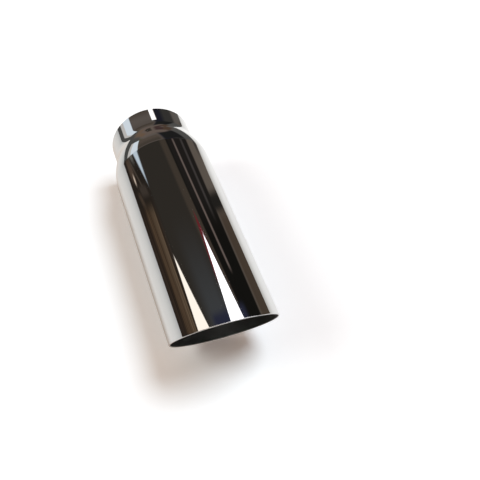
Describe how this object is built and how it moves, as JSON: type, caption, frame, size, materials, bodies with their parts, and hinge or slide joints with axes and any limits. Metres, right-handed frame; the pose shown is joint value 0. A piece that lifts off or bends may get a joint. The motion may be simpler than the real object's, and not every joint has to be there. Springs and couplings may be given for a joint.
{
  "type": "exhaust tip",
  "caption": "Mirror-polished tube with a slotted clamp-on inlet collar, a neck that swells into the body in a long smooth S-curve and a slanted outlet with a rounded lip.",
  "frame": {"origin": "centre of the inlet mouth, on the tube's axis", "axes": "+X along the tube's axis from the inlet to the outlet, +Z towards the long side of the slanted outlet, which is on top as the tip is fitted and as it lies in the picture"},
  "size_m": [0.305, 0.1016, 0.1016],
  "materials": {
    "polished_stainless": "mirror-polished stainless steel sheet"
  },
  "bodies": {
    "root": {"tip_shell": "polished_stainless"}
  },
  "joints": []
}
